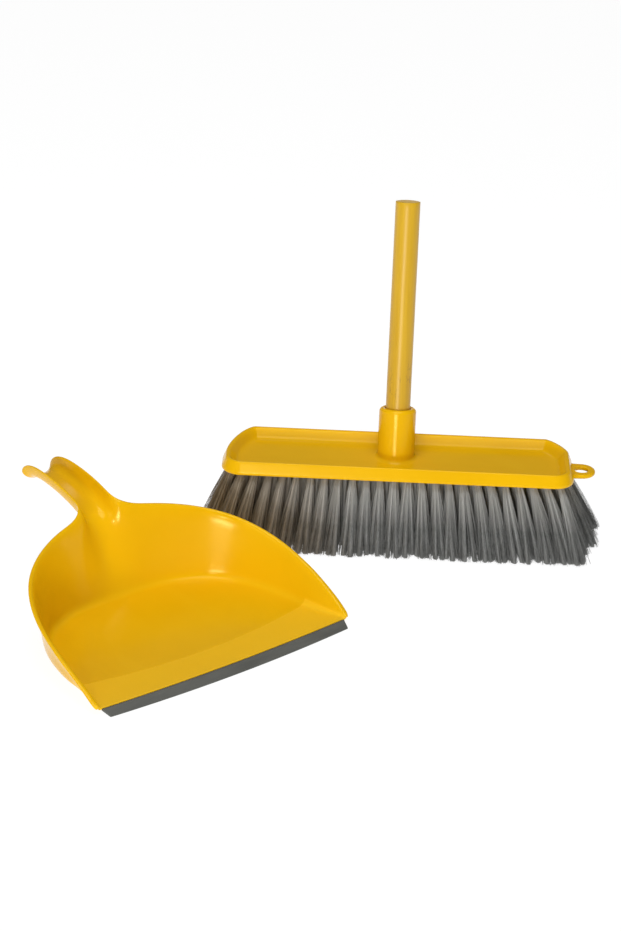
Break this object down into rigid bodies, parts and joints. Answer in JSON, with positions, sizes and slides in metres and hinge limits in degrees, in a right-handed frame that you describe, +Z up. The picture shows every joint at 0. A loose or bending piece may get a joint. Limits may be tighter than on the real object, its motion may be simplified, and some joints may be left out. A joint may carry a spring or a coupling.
{
  "type": "dust pan and brush set",
  "caption": "Open dust pan with a rubber lip and channel handle, beside a broom head with splayed bristles and a screw-in pole.",
  "frame": {"origin": "centre of the dust pan's flat base, on the floor", "axes": "+X across the dust pan's mouth, towards the brush; +Y from the pan's lip to its handle; +Z up"},
  "size_m": [0.5751, 0.3266, 0.3029],
  "materials": {
    "yellow_plastic": "moulded yellow polypropylene, soft gloss",
    "grey_rubber": "soft matt grey rubber lip",
    "grey_filament": "loose bundle of fine grey plastic filaments with split tips",
    "yellow_lacquer": "turned wood under a thin glossy yellow coat",
    "white_plastic": "plain moulded plastic"
  },
  "bodies": {
    "dust_pan": {"pan_shell": "yellow_plastic", "rubber_lip": "grey_rubber"},
    "brush": {"brush_head": "yellow_plastic", "tuft_front_01": "grey_filament", "tuft_front_02": "grey_filament", "tuft_front_03": "grey_filament", "tuft_front_04": "grey_filament", "tuft_front_05": "grey_filament", "tuft_front_06": "grey_filament", "tuft_front_07": "grey_filament", "tuft_front_08": "grey_filament", "tuft_front_09": "grey_filament", "tuft_front_10": "grey_filament", "tuft_front_11": "grey_filament", "tuft_front_12": "grey_filament", "tuft_front_13": "grey_filament", "tuft_front_14": "grey_filament", "tuft_front_15": "grey_filament", "tuft_front_16": "grey_filament", "tuft_front_17": "grey_filament", "tuft_front_18": "grey_filament", "tuft_front_19": "grey_filament", "tuft_front_20": "grey_filament", "tuft_front_21": "grey_filament", "tuft_front_22": "grey_filament", "tuft_front_23": "grey_filament", "tuft_front_24": "grey_filament", "tuft_back_01": "grey_filament", "tuft_back_02": "grey_filament", "tuft_back_03": "grey_filament", "tuft_back_04": "grey_filament", "tuft_back_05": "grey_filament", "tuft_back_06": "grey_filament", "tuft_back_07": "grey_filament", "tuft_back_08": "grey_filament", "tuft_back_09": "grey_filament", "tuft_back_10": "grey_filament", "tuft_back_11": "grey_filament", "tuft_back_12": "grey_filament", "tuft_back_13": "grey_filament", "tuft_back_14": "grey_filament", "tuft_back_15": "grey_filament", "tuft_back_16": "grey_filament", "tuft_back_17": "grey_filament", "tuft_back_18": "grey_filament", "tuft_back_19": "grey_filament", "tuft_back_20": "grey_filament", "tuft_back_21": "grey_filament", "tuft_back_22": "grey_filament", "tuft_back_23": "grey_filament", "tuft_back_24": "grey_filament"},
    "pole_thread": {"pole_ferrule": "white_plastic"},
    "pole": {"pole": "yellow_lacquer"}
  },
  "joints": [
    {"name": "brush_lift", "type": "slide", "parent": "dust_pan", "child": "brush", "axis": [0, 0, 1], "range_m": [0, 0.15]},
    {"name": "pole_feed", "type": "slide", "parent": "brush", "child": "pole_thread", "axis": [0.138, 0.1555, 0.9781], "range_m": [0, 0.0255]},
    {"name": "pole_turn", "type": "hinge", "parent": "pole_thread", "child": "pole", "pos_m": [0.2834, 0.02419, 0.10512], "axis": [0.138, 0.1555, 0.9781], "range_deg": [0, 1800]}
  ],
  "couplings": [
    {"joint": "pole_feed", "follows": "pole_turn", "m_per_rad": 0.00079577}
  ]
}
